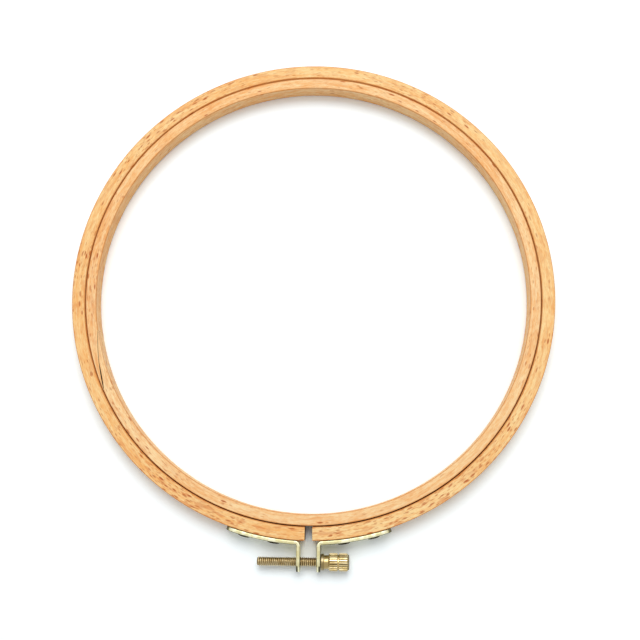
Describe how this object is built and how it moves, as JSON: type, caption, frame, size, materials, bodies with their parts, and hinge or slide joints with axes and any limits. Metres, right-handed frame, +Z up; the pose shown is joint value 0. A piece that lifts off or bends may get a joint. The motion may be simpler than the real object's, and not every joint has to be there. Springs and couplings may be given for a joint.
{
  "type": "embroidery hoop",
  "caption": "Round beech embroidery hoop: a plain inner ring inside a split outer ring drawn together by a knurled brass screw through pinned metal brackets.",
  "frame": {"origin": "on the resting face, under the middle of the whole hoop with its screw lugs, so the rings' own centre is 6.2 mm towards +Y", "axes": "+Z up out of the hoop's plane, +Y away from the screw, +X towards the knob, parallel to the screw"},
  "size_m": [0.2, 0.2124, 0.008],
  "materials": {
    "outer_ring_wood": "sanded beech, satin, fine flecks along the bend",
    "inner_ring_wood": "sanded beech, satin, paler than the outer ring",
    "bracket_plate": "steel sheet with a pale brass plating, semi-gloss",
    "pin_metal": "steel with a dull brass plating",
    "screw_brass": "cut thread in darkened brass",
    "knob_brass": "turned and knurled bright brass"
  },
  "bodies": {
    "right_half": {"outer_ring_right": "outer_ring_wood", "right_bracket": "bracket_plate", "right_inner_pin": "pin_metal", "right_outer_pin": "pin_metal"},
    "left_half": {"outer_ring_left": "outer_ring_wood", "left_bracket": "bracket_plate", "left_inner_pin": "pin_metal", "left_outer_pin": "pin_metal"},
    "clamp_screw": {"threaded_shank": "screw_brass", "knurled_knob": "knob_brass"},
    "inner_ring": {"inner_ring": "inner_ring_wood"}
  },
  "joints": [
    {"name": "screw_turn", "type": "hinge", "parent": "right_half", "child": "clamp_screw", "pos_m": [0.005, -0.1022, 0.004], "axis": [1, 0, 0], "range_deg": [0, 1800]},
    {"name": "ring_opening", "type": "hinge", "parent": "right_half", "child": "left_half", "pos_m": [0, 0.1035, 0.004], "axis": [0, 0, -1], "range_deg": [0, 1.11]},
    {"name": "inner_ring_lift", "type": "slide", "parent": "right_half", "child": "inner_ring", "axis": [0, 0, 1], "range_m": [0, 0.02]}
  ],
  "couplings": [
    {"joint": "screw_turn", "follows": "ring_opening", "ratio": 1615.6}
  ]
}
